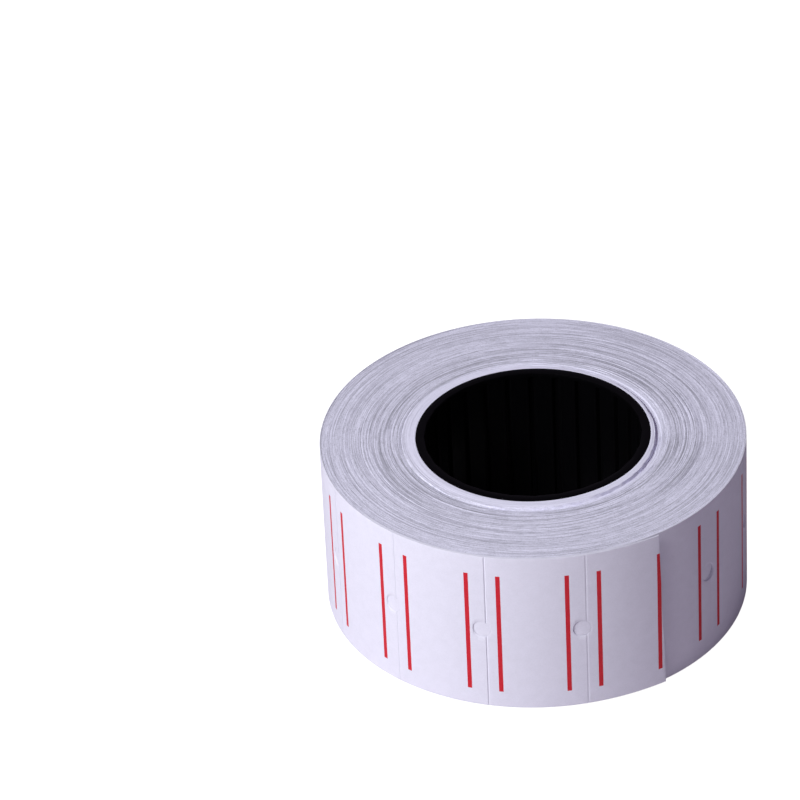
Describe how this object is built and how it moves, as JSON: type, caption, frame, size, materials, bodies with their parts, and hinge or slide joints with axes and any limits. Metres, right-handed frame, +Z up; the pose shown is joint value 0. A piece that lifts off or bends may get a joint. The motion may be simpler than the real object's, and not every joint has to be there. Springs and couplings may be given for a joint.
{
  "type": "price label roll",
  "caption": "Roll of self-adhesive price labels with pre-printed border lines, wound on a ribbed plastic core, with a loose end that unrolls and a first label that peels off its liner.",
  "frame": {"origin": "on the roll's axis, in the plane of the core's lower end face, on which the roll lies", "axes": "+Z up along the roll's axis; -Y is the side of the roll where the loose end begins to part from it, and the free end is 35 degrees further towards +X"},
  "size_m": [0.0511, 0.0512, 0.0219],
  "materials": {
    "core_plastic": "glossy black moulded plastic",
    "web_edges": "slit edges of many wound layers of paper",
    "liner_paper": "smooth glassine",
    "label_paper": "matt coated paper with thin red printed lines"
  },
  "bodies": {
    "roll": {"core": "core_plastic", "wound_web": "web_edges", "liner_wrap": "liner_paper", "label_04": "label_paper", "label_05": "label_paper", "label_06": "label_paper", "label_07": "label_paper", "label_08": "label_paper", "label_09": "label_paper", "label_10": "label_paper", "label_11": "label_paper", "label_12": "label_paper", "label_13": "label_paper", "label_14": "label_paper", "label_15": "label_paper", "label_16": "label_paper", "label_17": "label_paper", "feed_disc_03": "label_paper", "feed_disc_04": "label_paper", "feed_disc_05": "label_paper", "feed_disc_06": "label_paper", "feed_disc_07": "label_paper", "feed_disc_08": "label_paper", "feed_disc_09": "label_paper", "feed_disc_10": "label_paper", "feed_disc_11": "label_paper", "feed_disc_12": "label_paper", "feed_disc_13": "label_paper", "feed_disc_14": "label_paper", "feed_disc_15": "label_paper", "feed_disc_16": "label_paper"},
    "tail_link_3": {"liner_tail_3": "liner_paper", "label_03": "label_paper", "feed_disc_02": "label_paper"},
    "tail_link_2": {"liner_tail_2": "liner_paper", "label_02": "label_paper", "feed_disc_01": "label_paper"},
    "tail_link_1": {"liner_tail_1": "liner_paper"},
    "first_label": {"label_01": "label_paper"}
  },
  "joints": [
    {"name": "tail_bend_3", "type": "hinge", "parent": "roll", "child": "tail_link_3", "pos_m": [-0.0167, -0.01947, 0.01095], "axis": [0, 0, -1], "range_deg": [0, 45], "stiffness_Nm_per_rad": 0.0001},
    {"name": "tail_bend_2", "type": "hinge", "parent": "tail_link_3", "child": "tail_link_2", "pos_m": [-0.00622, -0.02488, 0.01095], "axis": [0, 0, -1], "range_deg": [0, 45], "stiffness_Nm_per_rad": 0.0001},
    {"name": "tail_bend_1", "type": "hinge", "parent": "tail_link_2", "child": "tail_link_1", "pos_m": [0.00557, -0.02504, 0.01095], "axis": [0, 0, -1], "range_deg": [0, 60], "stiffness_Nm_per_rad": 0.0001},
    {"name": "first_label_peel", "type": "hinge", "parent": "tail_link_1", "child": "first_label", "pos_m": [0.00557, -0.02504, 0.01095], "axis": [0, 0, -1], "range_deg": [0, 80]}
  ]
}
